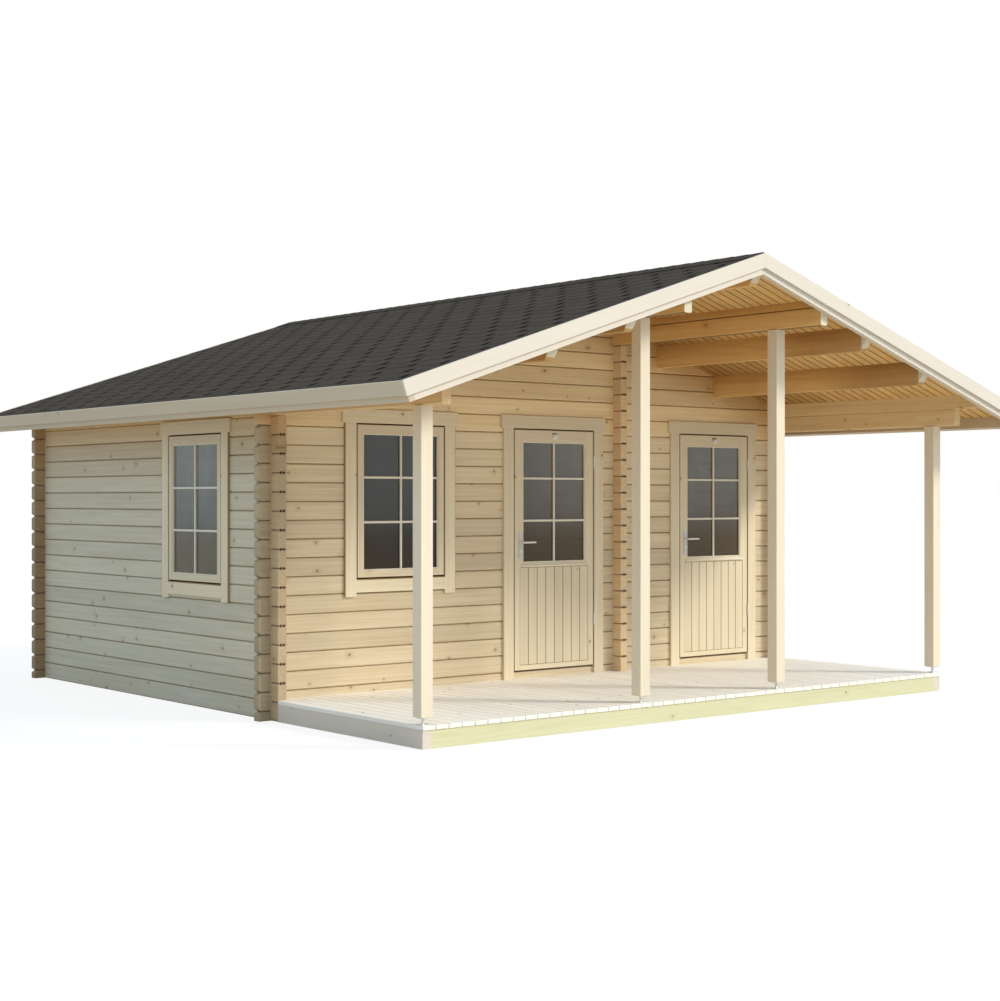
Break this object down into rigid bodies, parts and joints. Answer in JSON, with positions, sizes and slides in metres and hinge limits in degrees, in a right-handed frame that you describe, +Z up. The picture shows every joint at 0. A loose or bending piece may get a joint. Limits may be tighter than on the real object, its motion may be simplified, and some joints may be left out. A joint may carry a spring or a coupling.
{
  "type": "outdoor sauna, log cabin with a covered terrace",
  "caption": "Outdoor sauna built as a log cabin of separate rooms under a low saddle roof that runs on over a timber terrace, with hinged glazed doors and fixed windows.",
  "frame": {"origin": "on the ground, under the middle of the roof's plan; the ridge line is x = 0", "axes": "+Z up, the front with the terrace faces -Y, +X to the right seen from the front"},
  "size_m": [6.2558, 6.28, 3.3034],
  "materials": {
    "log_pine": "planed logs, weathered light",
    "roof_pine": "planed, warm in the shade",
    "shingle": "bitumen shingles with mineral grit",
    "planed_pine": "fresh planed pine",
    "floor_pine": "planed pine",
    "treated_pine": "pressure-treated pine",
    "steel": "satin",
    "casing_pine": "planed pine",
    "door_pine": "planed pine",
    "glass": "clear"
  },
  "bodies": {
    "cabin": {"front_sill_logs": "log_pine", "front_wall_left": "log_pine", "front_wall_middle": "log_pine", "front_wall_right": "log_pine", "front_gable": "log_pine", "side_wall_left": "log_pine", "side_wall_right": "log_pine", "back_wall": "log_pine", "partition_wall": "log_pine", "wall_plates": "log_pine", "post_beams": "roof_pine", "purlins": "roof_pine", "roof_boards_left": "roof_pine", "roof_boards_right": "roof_pine", "shingles_left": "shingle", "shingles_right": "shingle", "ridge_cap": "shingle", "end_rafters": "planed_pine", "eave_battens": "planed_pine", "eave_boards": "planed_pine", "bargeboards": "planed_pine", "floor_joists": "floor_pine", "floor_boards": "floor_pine", "deck_side_beams": "planed_pine", "deck_front_beam": "treated_pine", "deck_boards": "planed_pine", "posts": "planed_pine", "post_feet": "steel", "door_frame_1": "casing_pine", "door_casing_1": "casing_pine", "door_frame_2": "casing_pine", "door_casing_2": "casing_pine", "front_window_frame": "casing_pine", "front_window_casing": "casing_pine", "side_window_frame": "casing_pine", "side_window_casing": "casing_pine", "window_glass": "glass"},
    "door_1": {"door_leaf_1": "door_pine", "door_glass_1": "glass", "lock_plates_1": "steel"},
    "lever_1": {"door_lever_1": "steel"},
    "door_2": {"door_leaf_2": "door_pine", "door_glass_2": "glass", "lock_plates_2": "steel"},
    "lever_2": {"door_lever_2": "steel"}
  },
  "joints": [
    {"name": "door_1_hinge", "type": "hinge", "parent": "cabin", "child": "door_1", "pos_m": [0.4345, -0.872, 1.2], "axis": [0, 0, 1], "range_deg": [0, 100]},
    {"name": "lever_1_turn", "type": "hinge", "parent": "door_1", "child": "lever_1", "pos_m": [-0.342, -0.846, 1.2255], "axis": [0, 1, 0], "range_deg": [0, 40], "stiffness_Nm_per_rad": 1.5, "springref_deg": -20.05},
    {"name": "door_2_hinge", "type": "hinge", "parent": "cabin", "child": "door_2", "pos_m": [2.2695, -0.872, 1.2], "axis": [0, 0, 1], "range_deg": [0, 100]},
    {"name": "lever_2_turn", "type": "hinge", "parent": "door_2", "child": "lever_2", "pos_m": [1.493, -0.846, 1.2255], "axis": [0, 1, 0], "range_deg": [0, 40], "stiffness_Nm_per_rad": 1.5, "springref_deg": -20.05}
  ]
}
